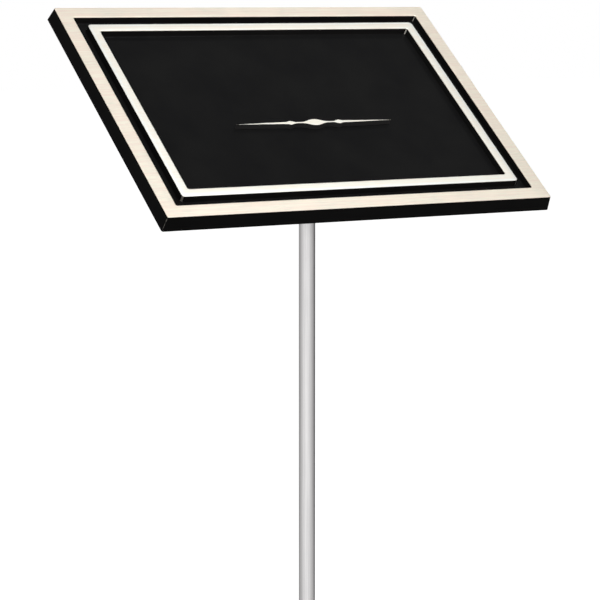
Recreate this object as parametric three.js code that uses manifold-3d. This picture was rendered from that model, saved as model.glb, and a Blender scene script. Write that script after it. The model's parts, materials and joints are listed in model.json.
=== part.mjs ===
// A lawn plaque: a cast plaque with two raised borders, leaning back on top of a round ground stake.
// An angled socket, screwed to four bosses on the plaque's back, is clamped on the stake by set screws.
// Millimetres, +Z up. The reading face looks towards -Y and up.
// The origin is on the stake's axis, at the level of the soil.

import * as THREE from "three";
import { mergeVertices } from "three/addons/utils/BufferGeometryUtils.js";
import Module from "manifold-3d";

const wasm = await Module();
wasm.setup();

// Clearances
const SEAT_GAP = 0.3; // between pieces that are screwed down on each other
const SCREW_GAP = 0.3; // round a screw in its hole or washer
const STAKE_GAP = 0.3; // round the stake in the socket's bore

// Ground stake
const STAKE_DIAMETER = 9.525;
const STAKE_LENGTH = 609.6;
const BURIED_LENGTH = 254;
const POINT_LENGTH = 32;
const POINT_TIP_DIAMETER = 1.6;
const STAKE_TOP_CHAMFER = 0.9;

// Plaque outline
const PLAQUE_WIDTH = 254;
const PLAQUE_HEIGHT = 177.8;
const PLATE_THICKNESS = 9.525;
const SIDE_DRAFT = 1.3; // how far each side leans in between back and face
const PLATE_CORNER_RADIUS = 1.2;
const EDGE_BREAK = 0.3; // small chamfer round the back edge
const FACE_SLOPE_DEG = 38.5; // slope of the face above the horizontal
const PLAQUE_RISE = 10.4; // centre of the plaque above the stake's axis, up the plaque

// Relief of the face
const OUTER_BORDER = 9;
const GROOVE_WIDTH = 6.2;
const INNER_BORDER = 6;
const RECESS_DEPTH = 4.2;
const WALL_DRAFT = 0.35; // how far a recess wall leans over its depth
const FOOT_RADIUS = 1.3; // rounded foot of the recess walls
const GROOVE_OUTER_RADIUS = 0.6; // corners of the outer border's inner edge
const INNER_BORDER_RADIUS = 2.2; // corners of the inner border's outer edge
const PANEL_RADIUS = 1; // corners of the panel

// Divider rule on the panel
const RULE_DROP = 15.2; // below the centre of the plaque
const RULE_HEIGHT = 3; // relief above the panel
const RULE_DRAFT = 0.5;
const RULE_HALF_LENGTH = 51.5;
const NEEDLE_WIDTH = 2.1; // at the bead
const LINK_WIDTH = 0.9; // thin bar between lozenge and beads
const BEAD_OFFSET = 16.2;
const BEAD_LENGTH = 9.6; // from point to point
const BEAD_WIDTH = 3.3;
const LOZENGE_LENGTH = 18;
const LOZENGE_WIDTH = 5.1;

// Bosses on the plaque's back
const BOSS_DIAMETER = 14;
const BOSS_HEIGHT = 6;
const BOSS_FILLET = 2;
const BOSS_SPACING_X = 62;
const BOSS_SPACING_Y = 44;
const FLOOR_SKIN = 2; // metal left between a tapped hole and the panel
const TAP_RUNOUT = 1; // hole beyond the screw's tip

// Socket
const FLANGE_THICKNESS = 5;
const FLANGE_MARGIN = 11; // from the screw centres to the flange's edge
const FLANGE_CORNER_RADIUS = 9;
const FLANGE_DRAFT = 0.8;
const PAD_DIAMETER = 13;
const PAD_HEIGHT = 0.8;
const HUB_WALL = 6.6; // at the hub's mouth
const HUB_FLARE = 1.6; // added to the hub's radius where it meets the flange
const HUB_CHAMFER = 1.2;
const BORE_DEPTH = 32;
const BORE_ROOF = 2.5; // metal between the bore's end and the flange's front
const BORE_CHAMFER = 0.8;
const WEB_THICKNESS = 7;
const WEB_REACH = 17; // along the flange from the hub's back
const WEB_DROP = 15; // down the hub's back from the flange

// Screws, washers and set screws
const SCREW_DIAMETER = 5;
const SCREW_HEAD_DIAMETER = 9.5;
const SCREW_HEAD_HEIGHT = 2.8;
const SCREW_HEAD_RIM = 0.5; // straight edge under the dome
const SCREW_CROWN_DIAMETER = 5; // flat round the key hole
const SCREW_TIP_CHAMFER = 0.6;
const SCREW_KEY = 3; // across the flats of the hexagon
const SCREW_KEY_DEPTH = 1.6;
const WASHER_DIAMETER = 9.2;
const WASHER_THICKNESS = 1.3;
const WASHER_SLIT = 0.9;
const WASHER_SLIT_DEG = 20;
const SET_SCREW_DIAMETER = 6;
const SET_SCREW_LENGTH = 8;
const SET_SCREW_KEY = 3;
const SET_SCREW_KEY_DEPTH = 3;
const SET_SCREW_POINT = 1; // chamfer of the point
const SET_SCREW_FROM_MOUTH = 8.5;
const SET_SCREW_PITCH = 11.5;

// Fineness of round forms
const ROUND_SIDES = 48;
const SMALL_SIDES = 24;
const CORNER_STEPS = 4;
const FOOT_STEPS = 3;
const HEX_SIDES = 6;

// Cutters run this far past the faces that they cut
const CUT_OVER = 1;

// Points closer than this are one point
const WELD = 1e-4;

// Levels across the plaque, along its own normal: 0 is its back
const SLOPE = THREE.MathUtils.degToRad(FACE_SLOPE_DEG);
const FACE_LEVEL = PLATE_THICKNESS;
const PANEL_LEVEL = FACE_LEVEL - RECESS_DEPTH;
const TAP_LEVEL = PANEL_LEVEL - FLOOR_SKIN;
const FLANGE_FRONT = -(BOSS_HEIGHT + SEAT_GAP);
const FLANGE_BACK = FLANGE_FRONT - FLANGE_THICKNESS;
const PAD_LEVEL = FLANGE_BACK - PAD_HEIGHT;
const WASHER_FRONT = PAD_LEVEL - SEAT_GAP;
const WASHER_BACK = WASHER_FRONT - WASHER_THICKNESS;
const HEAD_SEAT = WASHER_BACK - SEAT_GAP;

// Levels down the stake's axis: 0 is where the axis meets the plaque's back
const BORE_RADIUS = STAKE_DIAMETER / 2 + STAKE_GAP;
const HUB_RADIUS = BORE_RADIUS + HUB_WALL;
const BORE_END = axisLevel(FLANGE_FRONT, -BORE_RADIUS) - BORE_ROOF;
const HUB_MOUTH = BORE_END - BORE_DEPTH;
const STAKE_TOP = STAKE_LENGTH - BURIED_LENGTH;
const HEAD_HEIGHT = STAKE_TOP + SEAT_GAP - BORE_END;

// Height, over the head's origin, of a level of the plaque at the distance y behind the stake's axis
function axisLevel(level, y) {
  return level / Math.cos(SLOPE) + y * Math.tan(SLOPE);
}

// Closed geometry as a solid that can be joined and cut
function solidOf(geometry) {
  const bare = new THREE.BufferGeometry();
  bare.setAttribute("position", geometry.getAttribute("position"));
  bare.setIndex(geometry.index);
  const welded = mergeVertices(bare, WELD);
  const mesh = new wasm.Mesh({
    numProp: 3,
    vertProperties: welded.attributes.position.array,
    triVerts: new Uint32Array(welded.index.array),
  });
  return new wasm.Manifold(mesh);
}

function geometryOf(solid) {
  const mesh = solid.getMesh();
  const geometry = new THREE.BufferGeometry();
  geometry.setAttribute("position", new THREE.BufferAttribute(mesh.vertProperties, 3));
  geometry.setIndex(new THREE.BufferAttribute(mesh.triVerts, 1));
  geometry.computeVertexNormals();
  return geometry;
}

function joined(solids) {
  return solids.reduce((whole, next) => whole.add(next));
}

// Rectangle with round corners, anticlockwise about the point (0, rise)
function roundedRectangle(width, height, radius, rise = 0) {
  const outline = [];
  const corners = [
    [1, -1],
    [1, 1],
    [-1, 1],
    [-1, -1],
  ];
  corners.forEach(([right, up], corner) => {
    const x = right * (width / 2 - radius);
    const y = rise + up * (height / 2 - radius);
    for (let step = 0; step <= CORNER_STEPS; step += 1) {
      const angle = ((corner - 1 + step / CORNER_STEPS) * Math.PI) / 2;
      outline.push(new THREE.Vector2(x + radius * Math.cos(angle), y + radius * Math.sin(angle)));
    }
  });
  return outline;
}

// Solid through a stack of convex outlines with equal counts of points, from the lowest up.
// Each row is an outline and its level: a number, or a function of the point for a slanted end.
function loft(rows) {
  const count = rows[0].outline.length;
  const positions = rows.flatMap(({ outline, level }) =>
    outline.flatMap((p) => [p.x, p.y, typeof level === "function" ? level(p) : level]),
  );
  const indices = [];
  for (let row = 0; row < rows.length - 1; row += 1) {
    for (let i = 0; i < count; i += 1) {
      const here = row * count + i;
      const next = row * count + ((i + 1) % count);
      indices.push(here, next, next + count, here, next + count, here + count);
    }
  }
  const top = (rows.length - 1) * count;
  for (let i = 1; i < count - 1; i += 1) {
    indices.push(0, i + 1, i, top, top + i, top + i + 1);
  }
  const geometry = new THREE.BufferGeometry();
  geometry.setAttribute("position", new THREE.Float32BufferAttribute(positions, 3));
  geometry.setIndex(indices);
  return geometry;
}

// Body turned round the z axis from [radius, level] points, lowest first
function turned(profile, sides = SMALL_SIDES) {
  const points = profile.map(([radius, level]) => new THREE.Vector2(radius, level));
  return new THREE.LatheGeometry(points, sides).rotateX(Math.PI / 2);
}

function rod(radius, low, high, sides = SMALL_SIDES) {
  return turned(
    [
      [0, low],
      [radius, low],
      [radius, high],
      [0, high],
    ],
    sides,
  );
}

// Hexagonal key hole, from its flat end at low up to high
function keyHole(acrossFlats, low, high) {
  return rod(acrossFlats / Math.sqrt(3), low, high, HEX_SIDES);
}

function circle(radius, sides) {
  return Array.from({ length: sides }, (_, i) => {
    const angle = (i / sides) * 2 * Math.PI;
    return new THREE.Vector2(radius * Math.cos(angle), radius * Math.sin(angle));
  });
}

// Places of the four screws and bosses, on the plaque's back
function screwPlaces() {
  return [
    [-1, 1],
    [1, 1],
    [1, -1],
    [-1, -1],
  ].map(([right, up]) => [(right * BOSS_SPACING_X) / 2, (up * BOSS_SPACING_Y) / 2]);
}

function atScrews(geometry) {
  return screwPlaces().map(([x, y]) => solidOf(geometry.clone().translate(x, y, 0)));
}

// Offsets of a recess wall from its edge at the face, from the floor up: a rounded foot, then the draft
function wallRows() {
  const rows = [];
  for (let step = 0; step <= FOOT_STEPS; step += 1) {
    const angle = ((step / FOOT_STEPS) * Math.PI) / 2;
    rows.push({
      offset: WALL_DRAFT + FOOT_RADIUS * (1 - Math.sin(angle)),
      level: PANEL_LEVEL + FOOT_RADIUS * (1 - Math.cos(angle)),
    });
  }
  rows.push({ offset: 0, level: FACE_LEVEL });
  rows.push({ offset: 0, level: FACE_LEVEL + CUT_OVER });
  return rows;
}

// Cutter for a recess, whose walls lean in towards the floor
function recessCutter(width, height, radius) {
  const rows = wallRows().map(({ offset, level }) => ({
    outline: roundedRectangle(width - 2 * offset, height - 2 * offset, radius, PLAQUE_RISE),
    level,
  }));
  return solidOf(loft(rows));
}

// What stands up in the middle of a groove, whose walls lean out towards the floor
function groovePlug(width, height, radius) {
  const walls = wallRows();
  const foot = walls[0];
  const rim = walls[walls.length - 1];
  const rows = [
    { ...foot, level: foot.level - CUT_OVER },
    ...walls,
    { ...rim, level: rim.level + CUT_OVER },
  ];
  const outlined = rows.map(({ offset, level }) => {
    const spread = 2 * offset;
    const outline = roundedRectangle(width + spread, height + spread, radius + offset, PLAQUE_RISE);
    return { outline, level };
  });
  return solidOf(loft(outlined));
}

// One raised piece of the divider rule: its convex top outline, spread by the draft at the panel
function raised(top) {
  const box = new THREE.Box2().setFromPoints(top);
  const middle = box.getCenter(new THREE.Vector2());
  const size = box.getSize(new THREE.Vector2());
  const spread = new THREE.Vector2(1 + (2 * RULE_DRAFT) / size.x, 1 + (2 * RULE_DRAFT) / size.y);
  const foot = top.map((p) => p.clone().sub(middle).multiply(spread).add(middle));
  const rows = [
    { outline: foot, level: PANEL_LEVEL - CUT_OVER },
    { outline: foot, level: PANEL_LEVEL },
    { outline: top, level: PANEL_LEVEL + RULE_HEIGHT },
  ];
  return solidOf(loft(rows).translate(0, PLAQUE_RISE - RULE_DROP, 0));
}

// Traditional rule: a lozenge, a pointed bead on each side and two long needles
function dividerRule() {
  const corners = (...pairs) => pairs.map(([x, y]) => new THREE.Vector2(x, y));
  const diamond = (middle, length, width) =>
    corners(
      [middle + length / 2, 0],
      [middle, width / 2],
      [middle - length / 2, 0],
      [middle, -width / 2],
    );
  const link = roundedRectangle(2 * BEAD_OFFSET, LINK_WIDTH, LINK_WIDTH / 4);
  const pieces = [raised(diamond(0, LOZENGE_LENGTH, LOZENGE_WIDTH)), raised(link)];
  for (const side of [-1, 1]) {
    const bead = diamond(side * BEAD_OFFSET, BEAD_LENGTH, BEAD_WIDTH);
    const needle = corners(
      [BEAD_OFFSET, -NEEDLE_WIDTH / 2],
      [RULE_HALF_LENGTH, 0],
      [BEAD_OFFSET, NEEDLE_WIDTH / 2],
    );
    if (side < 0) {
      needle.forEach((p) => p.setX(-p.x));
      needle.reverse();
    }
    pieces.push(raised(bead), raised(needle));
  }
  return joined(pieces);
}

// Boss for a screw, with a fillet where it rises from the back
function boss() {
  const radius = BOSS_DIAMETER / 2;
  const profile = [
    [0, -BOSS_HEIGHT],
    [radius, -BOSS_HEIGHT],
  ];
  for (let step = 0; step <= FOOT_STEPS; step += 1) {
    const angle = ((step / FOOT_STEPS) * Math.PI) / 2;
    profile.push([
      radius + BOSS_FILLET * (1 - Math.cos(angle)),
      -BOSS_FILLET * (1 - Math.sin(angle)),
    ]);
  }
  const root = PANEL_LEVEL / 2;
  profile.push([radius + BOSS_FILLET, root], [0, root]);
  return turned(profile);
}

// The plaque in one casting: drafted plate, relief of the face, and bosses on the back
function plaqueCasting() {
  const faceWidth = PLAQUE_WIDTH - 2 * SIDE_DRAFT;
  const faceHeight = PLAQUE_HEIGHT - 2 * SIDE_DRAFT;
  const plateOutline = (inset) =>
    roundedRectangle(
      PLAQUE_WIDTH - 2 * inset,
      PLAQUE_HEIGHT - 2 * inset,
      PLATE_CORNER_RADIUS,
      PLAQUE_RISE,
    );
  const plate = loft([
    { outline: plateOutline(EDGE_BREAK), level: 0 },
    { outline: plateOutline(0), level: EDGE_BREAK },
    { outline: plateOutline(SIDE_DRAFT), level: FACE_LEVEL },
  ]);

  const grooveInset = 2 * OUTER_BORDER;
  const plugInset = grooveInset + 2 * GROOVE_WIDTH;
  const panelInset = plugInset + 2 * INNER_BORDER;
  const groove = recessCutter(
    faceWidth - grooveInset,
    faceHeight - grooveInset,
    GROOVE_OUTER_RADIUS,
  ).subtract(groovePlug(faceWidth - plugInset, faceHeight - plugInset, INNER_BORDER_RADIUS));
  const panel = recessCutter(faceWidth - panelInset, faceHeight - panelInset, PANEL_RADIUS);

  const tap = rod(SCREW_DIAMETER / 2 + SCREW_GAP, -BOSS_HEIGHT - CUT_OVER, TAP_LEVEL);
  return solidOf(plate)
    .add(joined(atScrews(boss())))
    .subtract(groove)
    .subtract(panel)
    .add(dividerRule())
    .subtract(joined(atScrews(tap)));
}

// Hub round the stake: it flares up to the flange, where it ends on the flange's slant
function hub() {
  const flangeMiddle = FLANGE_FRONT - FLANGE_THICKNESS / 2;
  return loft([
    { outline: circle(HUB_RADIUS - HUB_CHAMFER, ROUND_SIDES), level: HUB_MOUTH },
    { outline: circle(HUB_RADIUS, ROUND_SIDES), level: HUB_MOUTH + HUB_CHAMFER },
    {
      outline: circle(HUB_RADIUS + HUB_FLARE, ROUND_SIDES),
      level: (p) => axisLevel(flangeMiddle, p.y),
    },
  ]);
}

// Web in the open angle between the hub's back and the flange
function web() {
  const flangeMiddle = FLANGE_FRONT - FLANGE_THICKNESS / 2;
  const hubBack = HUB_RADIUS + HUB_FLARE;
  const insideHub = (HUB_RADIUS + BORE_RADIUS) / 2;
  const reach = hubBack + WEB_REACH * Math.cos(SLOPE);
  const foot = axisLevel(FLANGE_BACK, hubBack) - WEB_DROP;
  const side = new THREE.Shape([
    new THREE.Vector2(insideHub, foot),
    new THREE.Vector2(HUB_RADIUS, foot),
    new THREE.Vector2(reach, axisLevel(FLANGE_BACK, reach)),
    new THREE.Vector2(reach, axisLevel(flangeMiddle, reach)),
    new THREE.Vector2(insideHub, axisLevel(flangeMiddle, insideHub)),
  ]);
  const plate = new THREE.ExtrudeGeometry(side, {
    depth: WEB_THICKNESS,
    bevelEnabled: false,
    curveSegments: 1,
  });
  // The side view is drawn in y and z, and its thickness runs along x
  const axes = new THREE.Matrix4().makeBasis(
    new THREE.Vector3(0, 1, 0),
    new THREE.Vector3(0, 0, 1),
    new THREE.Vector3(1, 0, 0),
  );
  return plate.translate(0, 0, -WEB_THICKNESS / 2).applyMatrix4(axes);
}

function setScrewLevels() {
  const lower = HUB_MOUTH + SET_SCREW_FROM_MOUTH;
  return [lower + SET_SCREW_PITCH, lower];
}

// The angled socket, in the head's upright frame
function stakeSocket() {
  const width = BOSS_SPACING_X + 2 * FLANGE_MARGIN;
  const height = BOSS_SPACING_Y + 2 * FLANGE_MARGIN;
  const flangeOutline = (inset) =>
    roundedRectangle(width - 2 * inset, height - 2 * inset, FLANGE_CORNER_RADIUS);
  const flange = loft([
    { outline: flangeOutline(FLANGE_DRAFT), level: FLANGE_BACK },
    { outline: flangeOutline(0), level: FLANGE_FRONT },
  ]);
  const pad = rod(PAD_DIAMETER / 2, PAD_LEVEL, FLANGE_FRONT - FLANGE_THICKNESS / 2);
  const hole = rod(SCREW_DIAMETER / 2 + SCREW_GAP, PAD_LEVEL - CUT_OVER, FLANGE_FRONT + CUT_OVER);
  const slanted = solidOf(flange)
    .add(joined(atScrews(pad)))
    .subtract(joined(atScrews(hole)))
    .rotate([FACE_SLOPE_DEG, 0, 0]);

  const bore = turned(
    [
      [0, HUB_MOUTH - CUT_OVER],
      [BORE_RADIUS + BORE_CHAMFER + CUT_OVER, HUB_MOUTH - CUT_OVER],
      [BORE_RADIUS, HUB_MOUTH + BORE_CHAMFER],
      [BORE_RADIUS, BORE_END],
      [0, BORE_END],
    ],
    ROUND_SIDES,
  );
  const sideHole = rod(SET_SCREW_DIAMETER / 2 + SCREW_GAP, 0, HUB_RADIUS + HUB_FLARE + CUT_OVER);
  sideHole.rotateX(-Math.PI / 2);
  const sideHoles = setScrewLevels().map((level) =>
    solidOf(sideHole.clone().translate(0, 0, level)),
  );
  return slanted
    .add(solidOf(hub()))
    .add(solidOf(web()))
    .subtract(solidOf(bore))
    .subtract(joined(sideHoles));
}

// Button head screw, pointing up the plaque's normal, with its domed head behind the flange
function socketScrew() {
  const radius = SCREW_DIAMETER / 2;
  const headRadius = SCREW_HEAD_DIAMETER / 2;
  const crownRadius = SCREW_CROWN_DIAMETER / 2;
  const crown = HEAD_SEAT - SCREW_HEAD_HEIGHT;
  const rim = HEAD_SEAT - SCREW_HEAD_RIM;
  const tip = TAP_LEVEL - TAP_RUNOUT;
  const profile = [[0, crown]];
  for (let step = 0; step <= FOOT_STEPS; step += 1) {
    const angle = ((step / FOOT_STEPS) * Math.PI) / 2;
    profile.push([
      crownRadius + (headRadius - crownRadius) * Math.sin(angle),
      rim + (crown - rim) * Math.cos(angle),
    ]);
  }
  profile.push(
    [headRadius, HEAD_SEAT],
    [radius, HEAD_SEAT],
    [radius, tip - SCREW_TIP_CHAMFER],
    [radius - SCREW_TIP_CHAMFER, tip],
    [0, tip],
  );
  const key = keyHole(SCREW_KEY, crown - CUT_OVER, crown + SCREW_KEY_DEPTH);
  return solidOf(turned(profile)).subtract(solidOf(key));
}

// Split spring washer
function lockWasher() {
  const inner = SCREW_DIAMETER / 2 + SCREW_GAP;
  const outer = WASHER_DIAMETER / 2;
  const ring = turned([
    [inner, WASHER_BACK],
    [outer, WASHER_BACK],
    [outer, WASHER_FRONT],
    [inner, WASHER_FRONT],
    [inner, WASHER_BACK],
  ]);
  const slit = new THREE.BoxGeometry(WASHER_DIAMETER, WASHER_SLIT, 4 * WASHER_THICKNESS);
  slit.rotateX(THREE.MathUtils.degToRad(WASHER_SLIT_DEG));
  slit.translate(WASHER_DIAMETER / 2, 0, (WASHER_BACK + WASHER_FRONT) / 2);
  return solidOf(ring).subtract(solidOf(slit));
}

// Set screw, pointing down its own z axis, with its point at 0
function setScrew() {
  const radius = SET_SCREW_DIAMETER / 2;
  const body = turned([
    [0, 0],
    [radius - SET_SCREW_POINT, 0],
    [radius, SET_SCREW_POINT],
    [radius, SET_SCREW_LENGTH - SCREW_TIP_CHAMFER],
    [radius - SCREW_TIP_CHAMFER, SET_SCREW_LENGTH],
    [0, SET_SCREW_LENGTH],
  ]);
  const key = keyHole(
    SET_SCREW_KEY,
    SET_SCREW_LENGTH - SET_SCREW_KEY_DEPTH,
    SET_SCREW_LENGTH + CUT_OVER,
  );
  return solidOf(body).subtract(solidOf(key));
}

function groundStake() {
  const radius = STAKE_DIAMETER / 2;
  return turned(
    [
      [0, -BURIED_LENGTH],
      [POINT_TIP_DIAMETER / 2, -BURIED_LENGTH],
      [radius, POINT_LENGTH - BURIED_LENGTH],
      [radius, STAKE_TOP - STAKE_TOP_CHAMFER],
      [radius - STAKE_TOP_CHAMFER, STAKE_TOP],
      [0, STAKE_TOP],
    ],
    ROUND_SIDES,
  );
}

const finish = (color, roughness, metalness) =>
  new THREE.MeshStandardMaterial({ color, roughness, metalness });
const BLACK_ENAMEL = finish(0x17171a, 0.4, 0.3);
const CAST_ALUMINIUM = finish(0xb4b6b8, 0.5, 1);
const STAINLESS = finish(0xc9c9c6, 0.3, 1);
const STAKE_ALUMINIUM = finish(0xc4c6c9, 0.38, 1);

function piece(name, geometry, material) {
  const mesh = new THREE.Mesh(geometry, material);
  mesh.name = name;
  return mesh;
}

// What lies square to the plaque: its casting, and the screws and washers behind it
function leaningPieces() {
  const leaning = new THREE.Group();
  leaning.rotation.x = SLOPE;
  leaning.add(piece("plaque_casting", geometryOf(plaqueCasting()), BLACK_ENAMEL));
  const screw = geometryOf(socketScrew());
  const washer = geometryOf(lockWasher());
  screwPlaces().forEach(([x, y], index) => {
    const copies = [
      piece(`socket_screw_${index + 1}`, screw, STAINLESS),
      piece(`lock_washer_${index + 1}`, washer, STAINLESS),
    ];
    copies.forEach((copy) => copy.position.set(x, y, 0));
    leaning.add(...copies);
  });
  return leaning;
}

// The head, whose origin is where the stake's axis meets the plaque's back
function head() {
  const group = new THREE.Group();
  group.position.z = HEAD_HEIGHT;
  group.add(leaningPieces());
  group.add(piece("stake_socket", geometryOf(stakeSocket()), CAST_ALUMINIUM));
  const clamp = geometryOf(setScrew());
  setScrewLevels().forEach((level, index) => {
    const copy = piece(`set_screw_${index + 1}`, clamp, STAINLESS);
    copy.rotation.x = -Math.PI / 2;
    copy.position.set(0, STAKE_DIAMETER / 2 + SEAT_GAP, level);
    group.add(copy);
  });
  return group;
}

const lawnPlaque = new THREE.Group();
lawnPlaque.add(piece("ground_stake", groundStake(), STAKE_ALUMINIUM), head());

export default lawnPlaque;
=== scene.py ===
"""A lawn plaque on its ground stake, modelled and finished around the packed parts.

The file is laid out as an add-on. The first operator sets the studio, and each other one models one
piece, or one group of like pieces, on the body that carries it. Sizes are in metres.
"""

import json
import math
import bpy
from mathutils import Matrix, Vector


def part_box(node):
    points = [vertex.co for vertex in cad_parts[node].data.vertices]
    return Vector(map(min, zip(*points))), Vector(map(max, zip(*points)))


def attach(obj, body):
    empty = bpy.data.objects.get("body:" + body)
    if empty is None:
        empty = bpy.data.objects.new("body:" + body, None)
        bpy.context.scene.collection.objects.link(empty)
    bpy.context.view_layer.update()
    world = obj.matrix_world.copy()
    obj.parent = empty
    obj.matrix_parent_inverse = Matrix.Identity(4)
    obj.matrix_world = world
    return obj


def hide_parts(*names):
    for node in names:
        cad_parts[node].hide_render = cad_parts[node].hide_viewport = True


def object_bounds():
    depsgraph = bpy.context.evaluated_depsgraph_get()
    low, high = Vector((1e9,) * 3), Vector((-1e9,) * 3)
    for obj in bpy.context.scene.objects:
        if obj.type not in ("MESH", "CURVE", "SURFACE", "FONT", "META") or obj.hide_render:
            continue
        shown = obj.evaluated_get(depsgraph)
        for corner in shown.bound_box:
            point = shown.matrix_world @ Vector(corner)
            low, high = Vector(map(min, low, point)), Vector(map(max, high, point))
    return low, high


bl_info = {
    "name": "Lawn Plaque",
    "version": (1, 0, 0),
    "blender": (4, 5, 0),
    "location": "3D View > Sidebar > Lawn Plaque",
    "description": "Models a cast lawn plaque, its socket and its ground stake",
    "category": "Object",
}

import bmesh
import bpy
from bpy.props import FloatProperty, FloatVectorProperty, PointerProperty
from mathutils import Matrix, Vector

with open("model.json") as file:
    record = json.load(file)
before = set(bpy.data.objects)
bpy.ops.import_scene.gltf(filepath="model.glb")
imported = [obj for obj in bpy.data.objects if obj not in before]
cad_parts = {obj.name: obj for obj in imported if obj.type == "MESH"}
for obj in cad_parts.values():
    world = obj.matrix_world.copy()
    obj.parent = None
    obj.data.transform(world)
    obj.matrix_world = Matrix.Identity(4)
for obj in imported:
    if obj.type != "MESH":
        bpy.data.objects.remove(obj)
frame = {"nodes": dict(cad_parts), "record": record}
CAD_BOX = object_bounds()

MM = 0.001

# Fineness of round forms
STAKE_SIDES = 64
TURNED_SIDES = 32
HEX_SIDES = 6
CORNER_STEPS = 6
ARC_STEPS = 5
DOME_STEPS = 10
TIP_STEPS = 3
EDGE_STEPS = 2
SMOOTH_ANGLE = math.radians(32)

# Faces of the socket with this many sides or more are cut into triangles
MANY_SIDED = 5

# The divider rule is cut into columns in two rounds, because one round makes 100 cuts at most
RULE_CUTS = (50, 3)

# Cutters run this far past the faces that they cut
CUT_OVER = 2 * MM

# Share of a thread's pitch that each of its flanks takes
THREAD_FLANK = 0.4

# How the casting skin of the socket is softened
SKIN_SOFTNESS = 0.5
SKIN_ROUNDS = 8

# Which way a face looks, from the parts of its normal
FACING_UP = 0.5
UPRIGHT = 0.4
DIAGONAL = 0.5

# The plaque's own frame: x to the right, y up the plaque, z out of its face, 0 on the panel's floor
PANEL_MOUNT = next(m for m in frame["record"]["mounts"] if m["name"] == "inscription_panel")
FACE_NORMAL = Vector(PANEL_MOUNT["axis"]).normalized()
LEAN = math.atan2(-FACE_NORMAL.y, FACE_NORMAL.z)
PLAQUE_FRAME = Matrix.Translation(PANEL_MOUNT["pos_m"]) @ Matrix.Rotation(LEAN, 4, "X")


def leaning_box(node):
    """Lowest and highest corner of a packed node, in the plaque's own frame."""
    to_plaque = PLAQUE_FRAME.inverted()
    points = [to_plaque @ v.co for v in frame["nodes"][node].data.vertices]
    low = Vector(min(p[axis] for p in points) for axis in range(3))
    high = Vector(max(p[axis] for p in points) for axis in range(3))
    return low, high


def middle(box):
    return (box[0] + box[1]) / 2


SCREWS = [f"socket_screw_{i}" for i in range(1, 5)]
WASHERS = [f"lock_washer_{i}" for i in range(1, 5)]
SET_SCREWS = [f"set_screw_{i}" for i in range(1, 3)]
PLAQUE_BOX = leaning_box("plaque_casting")
SCREW_BOX = leaning_box(SCREWS[0])
WASHER_BOX = leaning_box(WASHERS[0])
SOCKET_BOX = leaning_box("stake_socket")
STAKE_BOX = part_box("ground_stake")
PLAQUE_CENTRE = middle(PLAQUE_BOX)
PLAQUE_SIZE = PLAQUE_BOX[1] - PLAQUE_BOX[0]
FACE_LEVEL = PLAQUE_BOX[1].z
BOSS_END = PLAQUE_BOX[0].z
FLANGE_FRONT = SOCKET_BOX[1].z
HUB_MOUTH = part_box("stake_socket")[0].z
STAKE_RADIUS = (STAKE_BOX[1].x - STAKE_BOX[0].x) / 2


# Settings


def length(label, words, millimetres):
    return FloatProperty(
        name=label, description=words, default=millimetres * MM, subtype="DISTANCE", unit="LENGTH"
    )


def angle(label, words, degrees):
    return FloatProperty(
        name=label, description=words, default=math.radians(degrees), subtype="ANGLE", unit="ROTATION"
    )


def colour(label, words, red, green, blue):
    return FloatVectorProperty(
        name=label, description=words, default=(red, green, blue), min=0, max=1, subtype="COLOR"
    )


def offset(label, words, x, y, z):
    return FloatVectorProperty(
        name=label, description=words, default=(x, y, z), subtype="TRANSLATION", unit="LENGTH"
    )


def glow(label, words, value):
    return FloatProperty(name=label, description=words, default=value, min=0)


def power(label, words, watts):
    return FloatProperty(
        name=label, description=words, default=watts, min=0, subtype="POWER", unit="POWER"
    )


def section(label, kind):
    return PointerProperty(name=label, description=kind.__doc__, type=kind)


class PlaqueSizes(bpy.types.PropertyGroup):
    """Sizes of the casting's relief."""

    plate_thickness: length("Plate", "Thickness of the plate from back to face", 9.525)
    side_draft: length("Side draft", "How far each side leans in between back and face", 1.3)
    plate_corner: length("Plate corner", "Radius of the plate's corners", 1.2)
    back_edge: length("Back edge", "Chamfer round the back", 0.3)
    outer_border: length("Outer border", "Width of the outer border", 9)
    groove: length("Groove", "Width of the groove between the borders", 6.2)
    inner_border: length("Inner border", "Width of the inner border", 6)
    wall_draft: length("Wall draft", "How far a recess wall leans over its depth", 0.35)
    foot_radius: length("Foot radius", "Rounding where a recess wall meets its floor", 0.75)
    rim_radius: length("Rim radius", "Rounding of the borders' outer edges", 0.25)
    eased_radius: length("Eased radius", "Rounding of the borders' edges towards the middle", 0.9)
    sanded: length("Sanded slope", "How far the outer border falls away to its outer edge", 0.17)
    bevel: length("Bevel", "Width of the bevel round the inner border's outer edge", 1.8)
    bevel_drop: length("Bevel drop", "How far that bevel falls to the edge", 0.1)
    bare_depth: length("Bare depth", "How far down the borders' edges the metal is bare", 0.45)
    groove_corner: length("Groove corner", "Radius at the outer border's inner corners", 0.9)
    inner_corner: length("Inner corner", "Radius at the inner border's outer corners", 2.2)
    panel_corner: length("Panel corner", "Radius of the panel's corners", 1.3)
    boss_diameter: length("Boss", "Diameter of the screw bosses on the back", 14)
    boss_fillet: length("Boss fillet", "Rounding where a boss rises from the back", 2)
    tap_floor: length("Tap floor", "Metal left between a tapped hole and the panel", 2)
    tap_gap: length("Tap gap", "Room round a screw in its hole", 0.3)


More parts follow.
